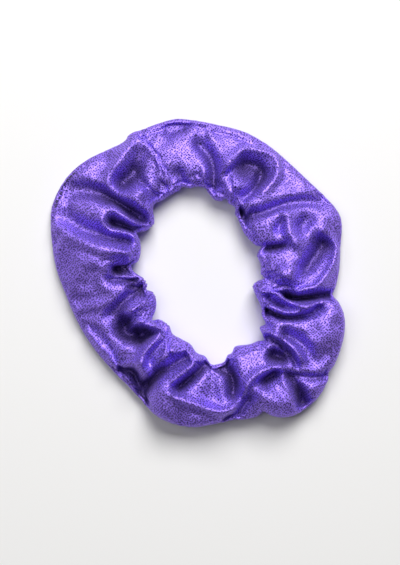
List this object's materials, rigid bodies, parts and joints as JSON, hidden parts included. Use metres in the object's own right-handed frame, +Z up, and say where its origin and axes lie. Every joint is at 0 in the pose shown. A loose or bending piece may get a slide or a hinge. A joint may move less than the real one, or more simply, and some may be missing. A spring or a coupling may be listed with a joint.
{
  "type": "hair scrunchie",
  "caption": "Gathered loop of foil-dot spandex cloth over a flat elastic, lying flat; it stretches to wind round a ponytail.",
  "frame": {"origin": "on the plane the loop rests on, under the middle of its box", "axes": "+Z up out of the hole; +Y along the longer side, towards the half with the seams; +X to the right of it"},
  "size_m": [0.109, 0.114, 0.0179],
  "materials": {
    "cover": "purple spandex printed with fine metallic foil dots, satin",
    "elastic": "white braided elastic, matte",
    "seam_thread": "dark violet polyester sewing thread",
    "elastic_thread": "white polyester sewing thread"
  },
  "bodies": {
    "upper_half": {"cover_upper": "cover", "elastic_upper": "elastic", "long_seam_thread_upper": "seam_thread", "cross_seam_thread": "seam_thread", "closing_stitches": "seam_thread", "elastic_join_stitches": "elastic_thread"},
    "lower_half": {"cover_lower": "cover", "elastic_lower": "elastic", "long_seam_thread_lower": "seam_thread"}
  },
  "joints": [
    {"name": "stretch", "type": "slide", "parent": "upper_half", "child": "lower_half", "axis": [0, -1, 0], "range_m": [0, 0.05], "stiffness_N_per_m": 80}
  ]
}
